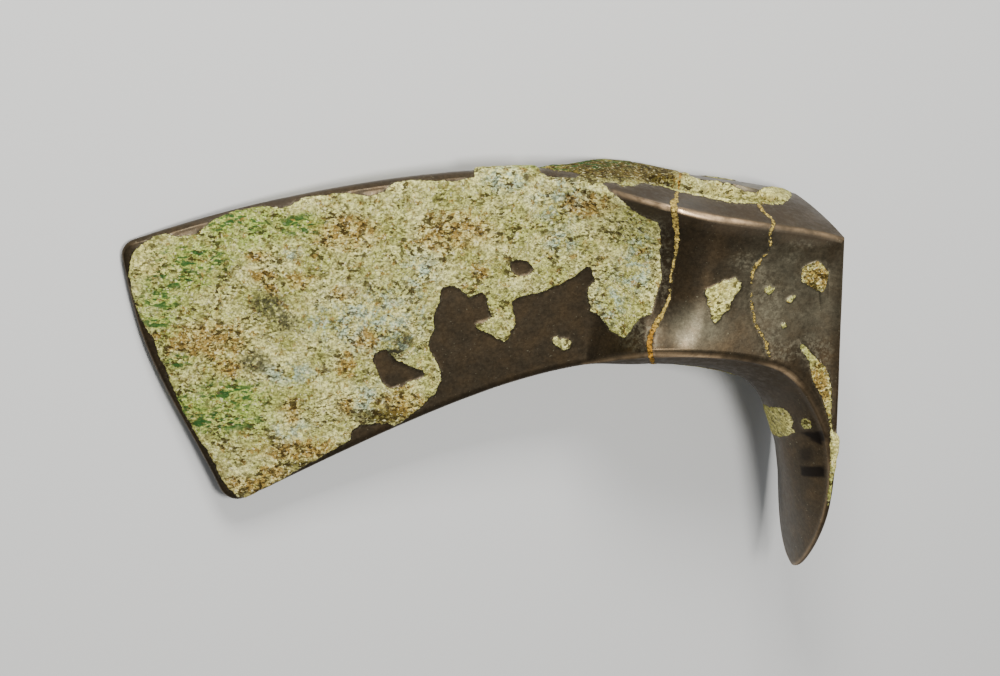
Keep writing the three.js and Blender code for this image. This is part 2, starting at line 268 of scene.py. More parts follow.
def half_ring(s, steps):
    """One side of every section: heights u and half widths z, from the middle of the
    underside, over the lip, up the wall and over the ridge to the middle of the top."""
    top_length = np.linalg.norm(s["top"] - s["under"], axis=1)
    length, crown, keel = (a[:, None] for a in (top_length, s["crown"], s["keel"]))
    lip, ridge, wall = (s[k][:, None] for k in ("lip", "ridge", "wall"))
    height = length - crown - keel
    lip_rounding = np.minimum(LIP_ROUNDING, height / 4) / height
    ridge_rounding = np.minimum(RIDGE_ROUNDING, height / 4) / height
    arch = np.linspace(0, 1, steps["arch"] + 1)[None]
    under_share = arch * (1 - np.minimum(LIP_ROUNDING / lip, 0.4))
    top_share = arch[:, ::-1] * (1 - np.minimum(RIDGE_ROUNDING / ridge, 0.4))
    even = np.linspace(0, 1, steps["wall"] + 1)[None]
    eased = mix(even, (1 - np.cos(math.pi * even)) / 2, WALL_EASING)
    share = mix(lip_rounding, 1 - ridge_rounding, eased)
    wall_z = (wall + (ridge - wall) * share ** WALL_HOLLOWNESS
              + (lip - wall) * (1 - share) ** WALL_HOLLOWNESS)
    under_arch = (keel * under_share ** 2, lip * under_share)
    side = (keel + height * share, wall_z)
    top_arch = (length - crown * top_share ** 2, ridge * top_share)
    turn_by = np.linspace(0, math.pi / 2, steps["corner"] + 1)[None, 1:-1]

    def corner(a, b, flip):
        """Points on a rounded corner between the last point of a and the first of b."""
        u0, z0, u1, z1 = a[0][:, -1:], a[1][:, -1:], b[0][:, :1], b[1][:, :1]
        ease_in, ease_out = np.sin(turn_by), 1 - np.cos(turn_by)
        if flip:
            ease_in, ease_out = ease_out, ease_in
        return u0 + (u1 - u0) * ease_in, z0 + (z1 - z0) * ease_out

    parts = [under_arch, corner(under_arch, side, True), side,
             corner(side, top_arch, False), top_arch]
    return (np.concatenate([p[0] + 0 * length for p in parts], 1),
            np.concatenate([p[1] + 0 * length for p in parts], 1))


def to_space(s, u, z):
    """Section heights and half widths as points of the drawing frame."""
    length = np.linalg.norm(s["top"] - s["under"], axis=1)[:, None]
    along = unit(s["top"] - s["under"])
    share = np.clip(u / length, 0, 1)
    height = u - s["skew"][:, None] / 2 * z / HALF_WIDTH * share ** 2
    out = s["bow"][:, None] * np.sin(math.pi * share ** EDGE_BOW_LEAN)
    x = s["under"][:, :1] + along[:, :1] * height - along[:, 1:] * out
    y = s["under"][:, 1:] + along[:, 1:] * height + along[:, :1] * out
    return np.stack([x, y, z + s["drift"][:, None]], 2)


def loft_rings():
    edge_first = np.linspace(0, 1, BLADE_STATIONS, endpoint=False)
    blade_t = mix(edge_first ** EDGE_CROWDING, edge_first, smooth(edge_first, 0, CROWDED_SHARE))
    adze_t = np.sin(np.linspace(0, LAST_ADZE_SECTION, ADZE_STATIONS) * math.pi / 2)
    socket_t = np.linspace(0, 1, SOCKET_STATIONS, endpoint=False)
    rings = []
    for s in (blade_sections(blade_t), socket_sections(socket_t), adze_sections(adze_t)):
        near_u, near_z = half_ring(s, NEAR_STEPS)
        far_u, far_z = half_ring(s, FAR_STEPS)
        near, far = to_space(s, near_u, near_z), to_space(s, far_u, -far_z)
        rings.append(np.concatenate([near, far[:, -2:0:-1]], 1))
    return np.concatenate(rings)


rings = loft_rings()
STATIONS, RING = rings.shape[:2]
NEAR_COUNT = 2 * NEAR_STEPS["arch"] + NEAR_STEPS["wall"] + 2 * (NEAR_STEPS["corner"] - 1) + 3
print("sections", STATIONS, "points in each", RING)


# %% [markdown]
# Neighbouring rings are joined by four-sided faces. Each end is closed by a strip that
# runs between the near and the far half of its last ring.

# %% Faces
def end_strip(base):
    """Triangles across one end ring, taken in turn from its near and its far half."""
    near = [base + i for i in range(NEAR_COUNT)]
    far = [base] + [base + i for i in range(RING - 1, NEAR_COUNT - 1, -1)] + [near[-1]]
    faces, i, j = [], 0, 0
    while i < len(near) - 1 or j < len(far) - 1:
        step_near = j == len(far) - 1 or (
            i < len(near) - 1 and (i + 1) / len(near) <= (j + 1) / len(far))
        third = near[i + 1] if step_near else far[j + 1]
        if len({near[i], far[j], third}) == 3:
            faces.append((near[i], third, far[j]))
        i, j = (i + 1, j) if step_near else (i, j + 1)
    return faces


def loft_faces():
    grid = np.arange(STATIONS * RING).reshape(STATIONS, RING)
    a, b = grid[:-1], grid[1:]
    quads = np.stack([a, b, np.roll(b, -1, 1), np.roll(a, -1, 1)], 2).reshape(-1, 4)
    first = end_strip(0)
    last = [face[::-1] for face in end_strip((STATIONS - 1) * RING)]
    return quads.tolist() + first + last


def mesh_object(name, points, faces):
    mesh = bpy.data.meshes.new(name)
    mesh.from_pydata(points.tolist(), [], faces)
    mesh.validate()
    made = bpy.data.objects.new(name, mesh)
    bpy.context.scene.collection.objects.link(made)
    return made


head = mesh_object("bronze_axe_head", rings.reshape(-1, 3), loft_faces())
print("faces before the hole", len(head.data.polygons))

# %% [markdown]
# ## The shaft hole
#
# In the casting the hole was left open by a clay core. Here the core is a tapered oval
# plug, and a Boolean cut takes its shape out of the head.

# %% Shaft hole
CORE_SIDES, CORE_ROWS, CORE_CLEARANCE = 84, 62, 9
HOLE_TOP = (SOCKET_BACK_RISE + SHOULDER_RISE) / 2


def core_points():
    rows = np.linspace(-UNDERSIDE_DROP - CORE_CLEARANCE, HOLE_TOP + CORE_CLEARANCE, CORE_ROWS)
    share = (rows + UNDERSIDE_DROP) / (HOLE_TOP + UNDERSIDE_DROP)
    half_length = mix(HOLE_BOTTOM_LENGTH, HOLE_TOP_LENGTH, share)[:, None] / 2
    half_width = mix(HOLE_BOTTOM_WIDTH, HOLE_TOP_WIDTH, share)[:, None] / 2
    angle = np.linspace(0, 2 * math.pi, CORE_SIDES, endpoint=False)[None]
    return np.stack([np.cos(angle) * half_length, rows[:, None] + 0 * angle,
                     np.sin(angle) * half_width], 2).reshape(-1, 3)


grid = np.arange(CORE_ROWS * CORE_SIDES).reshape(CORE_ROWS, CORE_SIDES)
walls = np.stack([grid[:-1], grid[1:], np.roll(grid[1:], -1, 1), np.roll(grid[:-1], -1, 1)], 2)
core = mesh_object("core", core_points(),
                   walls.reshape(-1, 4).tolist() + [grid[0].tolist(), grid[-1][::-1].tolist()])


def outward(obj):
    """Turns all faces of a closed mesh to the outside."""
    bm = bmesh.new()
    bm.from_mesh(obj.data)
    bmesh.ops.recalc_face_normals(bm, faces=bm.faces)
    if bm.calc_volume(signed=True) < 0:
        bmesh.ops.reverse_faces(bm, faces=bm.faces)
    bm.to_mesh(obj.data)
    bm.free()


outward(head)
outward(core)
cut = head.modifiers.new("shaft_hole", "BOOLEAN")
cut.operation, cut.solver, cut.object = "DIFFERENCE", "MANIFOLD", core
bpy.context.view_layer.update()
cut_head = head.evaluated_get(bpy.context.evaluated_depsgraph_get())
cut_mesh = bpy.data.meshes.new_from_object(cut_head)
head.modifiers.clear()
head.data = cut_mesh
bpy.data.objects.remove(core)
print("faces after the hole", len(head.data.polygons))

# %% [markdown]
# ## Laying it down
#
# The head lies on its far side and touches the table at three points: the upper corner of
# the cutting edge and the two flared corners of the socket. It leans until the direction
# below points straight down, and then stands where the CAD model stands.

# %% Resting place
FACES_GROUND = Vector((-0.12233, -0.00805, -0.99246))
lean = np.array(FACES_GROUND.rotation_difference(Vector((0, 0, -1))).to_matrix())

drawn = np.zeros(len(head.data.vertices) * 3)
head.data.vertices.foreach_get("co", drawn)
drawn = drawn.reshape(-1, 3)
leant = drawn @ lean.T
cad_low, cad_high = (np.array(corner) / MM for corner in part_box("axe_head"))
shift = (cad_low + cad_high) / 2 - (leant.min(0) + leant.max(0)) / 2
shift[2] = cad_low[2] - leant[:, 2].min()
placed = leant + shift
head.data.vertices.foreach_set("co", (placed * MM).ravel())
head.data.update()
print("moved by mm", shift.round(2))

head.data.polygons.foreach_set("use_smooth", np.ones(len(head.data.polygons), bool))
SHARP_ANGLE = 42
head.data.set_sharp_from_angle(angle=math.radians(SHARP_ANGLE))

# %% [markdown]
# ## Where the crust lies
#
# The crust is lime and earth that the ground left on the bronze. It has flaked off in
# places, with a chipped, wandering edge, and follows no rule. So its outline is drawn: the
# lists below are places in the photograph, in pixels, where the edge of a patch turns. The
# same goes for the two cracks, with the half width at each place, for stains and a few
# places of painted light and shade, each with its half width and half height, and for the
# places where the crust is thicker, with how many millimetres more it has there.
#
# A point of the surface asks the camera which pixel it is seen at, and then how far that
# pixel is from the outline. Seen from elsewhere the crust still lies on the bronze.

# %% Outlines of the crust
MAIN_CRUST = [
    (131, 257), (135, 250), (147, 241), (155, 236), (167, 233), (171, 236), (185, 236), (197, 233),
    (207, 225), (215, 219), (225, 215), (235, 211), (246, 208), (260, 206), (272, 207), (282, 208),
    (290, 206), (295, 202), (302, 199), (312, 196), (322, 195), (347, 193), (362, 195), (375, 195),
    (385, 190), (392, 184), (402, 181), (420, 180), (445, 181), (455, 182), (463, 180), (474, 177),
    (474, 164), (480, 150), (676, 150), (680, 172), (678, 189), (669, 184), (662, 183), (655, 186),
    (648, 184), (640, 184), (632, 186), (620, 186), (616, 183), (608, 182), (603, 184), (608, 189),
    (612, 193), (622, 200), (630, 208), (640, 215), (649, 219), (657, 222), (660, 228), (661, 238),
    (660, 250), (660, 260), (661, 270), (662, 280), (658, 289), (655, 300), (653, 308), (651, 314),
    (645, 316), (638, 320), (632, 329), (628, 334), (623, 339), (618, 335), (610, 331), (606, 324),
    (600, 316), (591, 311), (589, 302), (587, 292), (589, 286), (596, 281), (593, 274), (591, 267),
    (585, 266), (581, 271), (576, 276), (568, 280), (558, 285), (548, 289), (540, 293), (528, 295),
    (518, 297), (512, 302), (513, 310), (515, 318), (515, 328), (511, 331), (510, 337), (505, 341),
    (496, 338), (486, 333), (480, 330), (475, 326), (477, 323), (486, 322), (491, 316), (487, 304),
    (487, 298), (482, 292), (475, 295), (469, 298), (464, 293), (458, 288), (452, 286), (443, 287),
    (441, 290), (440, 302), (436, 310), (433, 319), (434, 327), (430, 337), (428, 347), (432, 354),
    (437, 362), (440, 370), (441, 380), (437, 390), (430, 398), (420, 408), (405, 419), (395, 426),
    (387, 424), (375, 423), (360, 425), (352, 432), (350, 440), (342, 445), (327, 453), (320, 458),
    (300, 468), (282, 480), (260, 490), (245, 498), (238, 497), (230, 490), (221, 478), (217, 468),
    (212, 458), (205, 448), (197, 437), (191, 425), (182, 410), (176, 395), (170, 382), (166, 370),
    (161, 360), (156, 348), (154, 338), (147, 330), (140, 318), (135, 305), (131, 290), (129, 275),
]
HOLE_RIM_CRUST = [
    (676, 150), (690, 176), (702, 180), (718, 181), (730, 184), (738, 188), (750, 192), (758, 193),
    (762, 188), (775, 186), (790, 190), (792, 196), (788, 201), (782, 203), (770, 204), (750, 204),
    (730, 203), (718, 201), (702, 197), (690, 193), (680, 190), (674, 188)]
CRUST_ISLAND = [(552, 338), (556, 336), (560, 339), (568, 338), (572, 343), (570, 348), (564, 350),
                (558, 347), (553, 343)]
WALL_PATCH = [(705, 291), (710, 288), (718, 283), (728, 280), (736, 278), (741, 282), (741, 288),
              (736, 294), (731, 302), (729, 310), (722, 314), (718, 320), (715, 324), (712, 318),
              (710, 310), (707, 302)]
CORNER_PATCH = [(802, 270), (808, 265), (818, 261), (824, 264), (826, 270), (832, 278), (830, 288),
                (822, 292), (814, 290), (810, 286), (802, 282), (801, 276)]
SMALL_PATCHES = [
    [(765, 288), (769, 285), (774, 288), (773, 292), (768, 295), (765, 292)],
    [(787, 299), (790, 296), (795, 296), (793, 300), (789, 304), (786, 301)],
    [(780, 325), (784, 323), (787, 326), (783, 329)],
    [(801, 420), (806, 418), (812, 421), (812, 427), (806, 430), (802, 426)]]
EDGE_STRIP = [(799, 342), (804, 345), (810, 350), (816, 358), (824, 366), (829, 374), (831, 388),
              (832, 400), (831, 410), (832, 422), (833, 432), (838, 434), (842, 442), (842, 452),
              (839, 463), (834, 474), (832, 490), (829, 506), (827, 506), (829, 480), (830, 460),
              (830, 430), (828, 416), (824, 404), (819, 392), (814, 382), (811, 372), (810, 364),
              (805, 356), (800, 348)]
BEND_PATCH = [(762, 403), (770, 407), (778, 407), (785, 409), (790, 415), (793, 420), (792, 427),
              (795, 432), (790, 435), (780, 437), (773, 435), (766, 428), (763, 418)]
PATCHES = [MAIN_CRUST, HOLE_RIM_CRUST, CRUST_ISLAND, WALL_PATCH, CORNER_PATCH, EDGE_STRIP,
           BEND_PATCH, *SMALL_PATCHES]
FLAKED_OFF = [
    [(381, 350), (387, 350), (391, 356), (397, 360), (410, 366), (422, 371), (426, 375), (417, 380),
     (410, 381), (400, 387), (389, 388), (382, 383), (379, 375), (376, 365), (373, 360), (375, 354)],
    [(510, 261), (518, 260), (528, 262), (534, 269), (530, 275), (524, 277), (515, 275), (510, 268)],
    [(538, 168), (545, 169), (558, 171), (572, 172), (580, 175), (576, 178), (564, 177), (548, 176),
     (542, 173)]]
print("outline corners", sum(map(len, PATCHES + FLAKED_OFF)))

# %% Cracks, stains and thick places
CRACKS = [
    [(681, 170, 2), (678, 190, 1.3), (676, 198, 2.6), (674, 204, 4.5), (674, 214, 2.9),
     (676, 226, 3.3), (677.5, 234, 2), (676.5, 242, 2.3), (676, 254, 1.7), (673, 266, 1.3),
     (671, 276, 1.3),
     (670, 290, 1.3), (668, 302, 1.3), (663, 312, 1.7), (658, 320, 2.6), (654, 328, 2.6),
     (650, 336, 2.6), (649.5, 346, 2.9), (651, 356, 2.9), (653, 364, 2.6)],
    [(758, 201, 2), (762, 209, 1.7), (767, 214, 1.3), (772, 218, 1.3), (774, 223, 1.3),
     (772, 229, 1.3), (770, 236, 1.3), (771, 244, 1.3), (769, 250, 1.3), (762, 258, 1.3),
     (756, 266, 2), (753, 272, 1.7), (752, 280, 1.3), (751.5, 290, 1.3), (751, 300, 1.3),
     (753, 310, 1.3), (755, 322, 1.3), (760, 332, 1.3), (766, 342, 1.3), (768, 352, 1.3),
     (770, 357, 1.3)]]
STAINS = {
    "green": [(235, 222, 44, 14), (192, 258, 50, 18), (160, 300, 24, 14), (156, 322, 18, 10),
              (178, 278, 40, 14), (230, 395, 48, 18), (220, 420, 56, 14), (186, 405, 20, 14),
              (180, 360, 18, 9), (300, 225, 30, 14), (575, 165, 100, 7)],
    "blue": [(400, 338, 26, 20), (370, 400, 22, 22), (560, 200, 34, 28), (290, 372, 34, 14),
             (290, 430, 22, 16), (418, 305, 12, 16), (420, 272, 22, 22), (292, 254, 12, 7),
             (635, 272, 22, 24), (505, 180, 26, 14), (560, 240, 20, 14), (330, 320, 30, 20),
             (610, 300, 20, 26), (370, 320, 60, 40), (640, 250, 14, 30)],
    "tint": [(246, 228, 62, 26), (215, 412, 60, 30), (160, 310, 30, 50)],
    "tan": [(440, 238, 22, 16), (258, 256, 14, 8), (264, 276, 16, 9), (272, 290, 9, 8),
            (298, 280, 16, 10), (342, 292, 14, 8), (205, 340, 52, 22), (228, 366, 18, 12),
            (345, 365, 12, 16), (292, 412, 10, 16), (276, 474, 22, 12), (345, 405, 10, 12),
            (366, 340, 16, 14), (398, 405, 30, 20), (300, 450, 50, 14), (480, 272, 12, 8),
            (455, 232, 44, 22), (250, 485, 40, 12), (345, 232, 40, 20), (585, 205, 30, 14),
            (816, 277, 18, 18), (600, 168, 60, 8), (820, 390, 14, 40), (652, 174, 34, 12)],
    "soot": [(268, 304, 22, 16), (285, 320, 16, 14), (254, 362, 20, 13), (402, 341, 12, 12),
             (394, 352, 10, 8)],
    # dust: grey dust on the socket's wall; the small place at the far rim inside the shaft hole is
    # painted light on a face that lies in shade
    "dust": [(790, 290, 70, 62), (748, 187, 18, 5), (700, 325, 40, 26)],
    "grey": [(664, 262, 10, 56), (660, 226, 14, 14), (640, 336, 22, 22), (762, 285, 9, 32),
             (772, 338, 9, 16), (826, 268, 5, 8), (815, 352, 20, 20), (792, 258, 14, 5),
             (803, 244, 16, 6), (785, 350, 30, 12), (746, 262, 18, 12), (770, 305, 14, 44)],
    "dark": [(640, 195, 26, 8), (806, 455, 8, 10)],
    "ochre": [(652, 346, 11, 26), (683, 182, 9, 12)],
    # pale: paler crust; on the patch at the adze's bend, which lies in shade, it is painted light
    "pale": [(723, 300, 24, 30), (779, 421, 24, 20), (836, 450, 10, 24), (735, 195, 60, 12),
             (150, 262, 26, 18)],
    "umber": [(606, 171, 72, 15), (655, 176, 26, 13), (380, 415, 36, 9), (310, 464, 30, 6)],
    # dirt: on the top faces and the ridge's right end a dark coat that is no metal, painted shade
    # that keeps them dark and without reflections
    "dirt": [(766, 212, 78, 24), (812, 230, 44, 16), (640, 193, 60, 14), (240, 210, 200, 14)],
}
DARK_MARKS = [
    [(801, 432), (826, 431), (828, 437), (822, 445), (812, 440), (806, 436)],
    [(801, 467), (812, 466), (826, 467), (826, 476), (818, 477), (802, 476)]]
THICK_PLACES = [(480, 165, 14, 12, 0.5), (520, 163, 60, 14, 0.5), (590, 162, 60, 14, 0.15),
                (650, 166, 40, 12, 0.4), (836, 446, 8, 12, 0.6), (730, 192, 60, 10, 0.4)]
print("stains", {name: len(places) for name, places in STAINS.items()})

# %% [markdown]
# ## Distances on the surface
#
# The distance to an outline is the distance to its nearest straight piece, and its sign
# says whether the point is inside. All points of the mesh are tested together.

# %% Distances
MM_PER_PIXEL = 0.309


def segment_distance(points, a, b):
    """Distance from points to a straight piece, and the share of its length there."""
    a, b = np.array(a, float), np.array(b, float)
    run = b - a
    share = np.clip((points - a) @ run / (run @ run), 0, 1)
    return np.linalg.norm(points - a - share[:, None] * run, axis=1), share


def inside_distance(points, outline):
    """How far inside an outline points are, below zero outside."""
    nearest = np.full(len(points), 1e9)
    inside = np.zeros(len(points), bool)
    x, y = points.T
    for a, b in zip(outline, outline[1:] + outline[:1]):
        nearest = np.minimum(nearest, segment_distance(points, a, b)[0])
        if a[1] != b[1]:
            crosses = (a[1] > y) != (b[1] > y)
            inside ^= crosses & (x < (b[0] - a[0]) * (y - a[1]) / (b[1] - a[1]) + a[0])
    return np.where(inside, nearest, -nearest)


def line_cover(points, line):
    """How far inside a line of changing half width points are."""
    best = np.full(len(points), -1e9)
    for (ax, ay, aw), (bx, by, bw) in zip(line, line[1:]):
        distance, share = segment_distance(points, (ax, ay), (bx, by))
        best = np.maximum(best, aw + (bw - aw) * share - distance)
    return best


def stain_weight(points, places):
    """1 in the middle of each oval place, fading to 0 a little outside it."""
    weight = np.zeros(len(points))
    for x, y, half_width, half_height in places:
        r = np.hypot((points[:, 0] - x) / half_width, (points[:, 1] - y) / half_height)
        weight = np.maximum(weight, 1 - smooth(r, 0.35, 1.25))
    return weight


def cloud(points, size, seed, octaves=2):
    """Soft random values from -1 to 1 in lumps of a size in mm, the same on every run."""
    offset = Vector((seed * 17.3, seed * 5.1, seed * 9.7))
    return np.array([noise.fractal(Vector(p) / size + offset, 0.9, 2.0, octaves) for p in points])


print("one pixel is", MM_PER_PIXEL, "mm on the head")


# %% [markdown]
# ## What the camera sees
#
# The outlines only count where the camera sees the surface. A ray from each point towards
# the camera finds out whether another part of the head is in the way. The hidden sides
# get the same kinds of finish from seeded noise: mostly crust on the blade and in the
# hole, mostly bare bronze on the adze. The hidden crust stays off the faces that turn
# down under the socket, and off the far edge of the blade, where it would stand out past
# the outline that the photograph shows.

# %% Seen and hidden
count = len(head.data.vertices)
normals = np.zeros(count * 3)
head.data.vertex_normals.foreach_get("vector", normals)
normals = normals.reshape(-1, 3)
tree = BVHTree.FromPolygons([Vector(p) for p in placed],
                            [tuple(p.vertices) for p in head.data.polygons])
towards = unit(EYE - placed)
facing = (normals * towards).sum(1)
RAY_START = 0.4
shadowed = np.array([
    f > 0 and tree.ray_cast(Vector(p + n * RAY_START), Vector(t))[0] is not None
    for p, n, t, f in zip(placed, normals, towards, facing)])
# a surface that turns only a little away still counts, so that edges are finished as drawn
TURNED_AWAY, EDGE_ON = -0.35, -0.05
seen = smooth(facing, TURNED_AWAY, EDGE_ON) * ~shadowed
pixels = photo_pixel(placed)
print("share of the mesh that the camera sees", round(float(seen.mean()), 2))

# %% Crust and stains as numbers on the mesh
def drawn_crust():
    cover = np.max([inside_distance(pixels, outline) for outline in PATCHES], 0)
    bare = np.max([inside_distance(pixels, outline) for outline in FLAKED_OFF], 0)
    return np.minimum(cover, -bare) * MM_PER_PIXEL


x, y, z = drawn.T
blade_side = 1 - smooth(x, -60, -20)
adze_side = smooth(-y, 30, 55)
hole_reach = np.hypot(x / (HOLE_TOP_LENGTH / 2 + 2.5), z / (HOLE_TOP_WIDTH / 2 + 2.5))
in_hole = 1 - smooth(hole_reach, 0.85, 1.1)
HIDDEN_LUMP, HIDDEN_DEPTH = 26, 9
far_rim = smooth(facing, -0.86, -0.7) * blade_side
facing_under = smooth(-(normals @ lean)[:, 1], 0.3, 0.8) * smooth(x, -60, -30)
# how much more or less crust a zone has, as a share of a lump's height
zones = ((0.42, blade_side), (-0.42, adze_side), (1.5, in_hole), (-0.8, facing_under),
         (-1.2, far_rim))
EVERYWHERE = -0.12
hidden_crust = HIDDEN_DEPTH * (cloud(drawn, HIDDEN_LUMP, 1, 4) + EVERYWHERE
                               + sum(share * zone for share, zone in zones))
LARGE_CHIP, SMALL_CHIP = 2.6, 1.1
ragged = 0.35 * cloud(drawn, LARGE_CHIP, 2) + 0.2 * cloud(drawn, SMALL_CHIP, 3, 1)
crust = mix(hidden_crust, drawn_crust(), seen) + ragged
crack = np.max([line_cover(pixels, line) for line in CRACKS], 0) * MM_PER_PIXEL
NO_CRACK, CRACK_CHIP, CRACK_GAP = -3.0, 1.8, 6
crack = (mix(NO_CRACK, crack, seen) + 0.32 * cloud(drawn, CRACK_CHIP, 12, 3)
         - 0.45 * smooth(cloud(drawn, CRACK_GAP, 13), 0.3, 0.6))
stains = {name: stain_weight(pixels, places) * seen for name, places in STAINS.items()}
HIDDEN_STAIN = 18
hidden_stain = (1 - seen) * np.clip(cloud(drawn, HIDDEN_STAIN, 4) * 1.6, 0, 1)
mark = np.max([inside_distance(pixels, outline) for outline in DARK_MARKS], 0)
stains["dark"] = np.maximum(0.6 * stains["dark"], smooth(mark, -0.8, 0.8) * seen)
for name, share in (("green", 0.7), ("tan", 0.8), ("grey", 0.5), ("dirt", 0.8)):
    stains[name] = np.maximum(stains[name], hidden_stain * share)
# painted shade: the faces that turn down under the socket get the same dark coat
stains["dirt"] = np.maximum(stains["dirt"], facing_under)
print("share of crust", round(float((crust > 0).mean()), 2))

# %% [markdown]
# ## Relief
#
# The crust is about half a millimetre thick, and twice that in a few lumps. Its top is
# uneven and pitted, and the cast bronze under it is not quite flat. The cracks are filled
# a little over the bronze, in a shallow groove. Every point is moved along its own
# normal. Where the head touches the table the crust has rubbed off, so nothing sinks into
# it.

# %% Relief
CRUST_THICKNESS, CRUST_LUMPS, CRUST_GRAIN, CAST_WAVES = 0.45, 0.14, 0.1, 0.05
PIT_SIZE, PIT_DEPTH, CRUST_LUMP_SIZE, CRUST_GRAIN_SIZE, WAVE_SIZE = 2.6, 0.34, 7, 1.7, 14
CRACK_FILL, CRACK_SHOULDER, CRACK_REACH, RUB_HEIGHT = 0.12, 0.16, -2.5, 2.0
FILL_GRAIN_SIZE, THINNEST_CRUST = 1.6, 0.1

step = smooth(crust, -0.15, 0.75)
extra = np.zeros(count)
for px, py, half_width, half_height, thickness in THICK_PLACES:
    r = np.hypot((pixels[:, 0] - px) / half_width, (pixels[:, 1] - py) / half_height)
    extra = np.maximum(extra, thickness * (1 - smooth(r, 0.4, 1.2)) * seen)
pits = smooth(cloud(drawn, PIT_SIZE, 14, 3), 0.12, 0.7)
body = (CRUST_THICKNESS + extra + CRUST_LUMPS * cloud(drawn, CRUST_LUMP_SIZE, 5, 3)
        + CRUST_GRAIN * cloud(drawn, CRUST_GRAIN_SIZE, 6) - PIT_DEPTH * pits)
waves = CAST_WAVES * cloud(drawn, WAVE_SIZE, 7, 2)
filled = smooth(crack, -0.1, 0.5)
shoulder = np.exp(-(np.clip(crack, -9, 0) / 0.7) ** 2) * (1 - filled)
fill_grain = 1 + 2 * cloud(drawn, FILL_GRAIN_SIZE, 8)
rise = (waves + step * np.maximum(body, THINNEST_CRUST) * (1 - filled)
        + filled * CRACK_FILL * fill_grain - CRACK_SHOULDER * shoulder * (crack > CRACK_REACH))
rise *= smooth(placed[:, 2], 0, RUB_HEIGHT)
raised = placed + normals * rise[:, None]
raised[:, 2] = np.maximum(raised[:, 2], 0)
head.data.vertices.foreach_set("co", (raised * MM).ravel())
head.data.update()
print("relief in mm", round(float(rise.min()), 2), "to", round(float(rise.max()), 2))

# %% [markdown]
# ## Worn lines and painted highlights
#
# Hands and other finds have rubbed the ridges and lips brighter, most of all where the
# blade meets the socket and at the bend of the adze. There the pale colour is also a
# painted highlight. The distance to the nearest ridge or lip point of the drawn rings gives
# a weight for that, and the brightest places are drawn like the stains.

# %% Worn ridges and lips, with painted highlights
WORN_WIDTH, WORN_ELSEWHERE, WORN_HIDDEN = 0.65, 0.18, 0.5
# painted highlight: at these places the pale worn colour is strongest, on the ridge and the lips
# where the highlights lie
WEAR_AND_HIGHLIGHT_PLACES = [(694, 212, 62, 40), (684, 356, 44, 16), (795, 372, 34, 14)]
lip_ring = NEAR_STEPS["arch"] + NEAR_STEPS["corner"] // 2
ridge_ring = lip_ring + NEAR_STEPS["wall"] + NEAR_STEPS["corner"]
far_lip_ring = RING - FAR_STEPS["arch"] - FAR_STEPS["corner"] // 2
lines = rings[:, [lip_ring, ridge_ring, far_lip_ring]].reshape(-1, 3)
lines = lines[lines[:, 0] > -SOCKET_BACK - LIP_FLARE]
worn_tree = KDTree(len(lines))
for i, p in enumerate(lines):
    worn_tree.insert(Vector(p), i)
worn_tree.balance()
worn_distance = np.array([worn_tree.find(Vector(p))[2] for p in drawn])
rubbed_and_highlit = mix(WORN_ELSEWHERE, 1, stain_weight(pixels, WEAR_AND_HIGHLIGHT_PLACES))
worn = np.exp(-(worn_distance / WORN_WIDTH) ** 2) * mix(WORN_HIDDEN, rubbed_and_highlit, seen)


def keep_on_mesh(name, values):
    attribute = head.data.attributes.new(name, "FLOAT", "POINT")
    attribute.data.foreach_set("value", np.asarray(values, np.float32))


keep_on_mesh("crust", np.clip(crust, -6, 6))
keep_on_mesh("crack", np.clip(crack, -6, 6))
keep_on_mesh("worn", worn)
keep_on_mesh("pit", pits)
for name, weight in stains.items():
    keep_on_mesh(name + "_stain", weight)
print("attributes", [a.name for a in head.data.attributes if not a.name.startswith(".")])

# %% [markdown]
# ## One material, two substances
#
# Buried bronze: a cast copper-tin alloy under a thin dark oxide, satin, and a metal to
# the light. On it lies lime crust, which is chalky and no metal. One material holds both,
# and the numbers on the mesh say which of the two a point shows.

# %% Colours
def linear(hex_colour):
    """An sRGB colour as the linear values that Blender works with."""
    parts = [int(hex_colour[i:i + 2], 16) / 255 for i in (1, 3, 5)]
    return [c / 12.92 if c <= 0.04045 else ((c + 0.055) / 1.055) ** 2.4 for c in parts] + [1]


# the dark earth film is earth on the hidden sides and painted shade on the top faces and the
# underside
BRONZE_OXIDE, BRONZE_WARM, BRONZE_STAIN, EARTH_AND_SHADE_FILM = "#41382a", "#57462f", "#1a130c", "#3b3226"
# the pale worn colour is partly a painted highlight, and the dusted grey is in one place painted
# light
BRONZE_WORN_AND_HIGHLIGHT, BRONZE_DUST_AND_LIGHT, BRONZE_FLECK = "#f6cf9e", "#77715c", "#8d876e"
CRUST_CREAM, CRUST_OLIVE, CRUST_TAN, CRUST_BLUE = "#dad488", "#abab5d", "#876b30", "#a3b69a"
CRUST_PORE, CRUST_FLECK, CRUST_SHADE, CRUST_GREEN = "#2e230a", "#f0e8b6", "#7a763c", "#234f22"
# the pale crust colour is in part painted light on the adze's shaded bend
CRUST_TINT, CRUST_SOOT, CRUST_UMBER, CRUST_PALE_AND_LIT = "#95a847", "#27251d", "#4a4118", "#eadf84"
CRACK_CREAM, CRACK_OCHRE, CRUST_SAND = "#cbb15e", "#a87828", "#c3a052"
print("worn bronze as linear values", [round(c, 3) for c in linear(BRONZE_WORN_AND_HIGHLIGHT)[:3]])

# %% The node helper
finish = bpy.data.materials.new("buried_bronze_and_crust")
finish.use_nodes = True
finish.node_tree.nodes.clear()


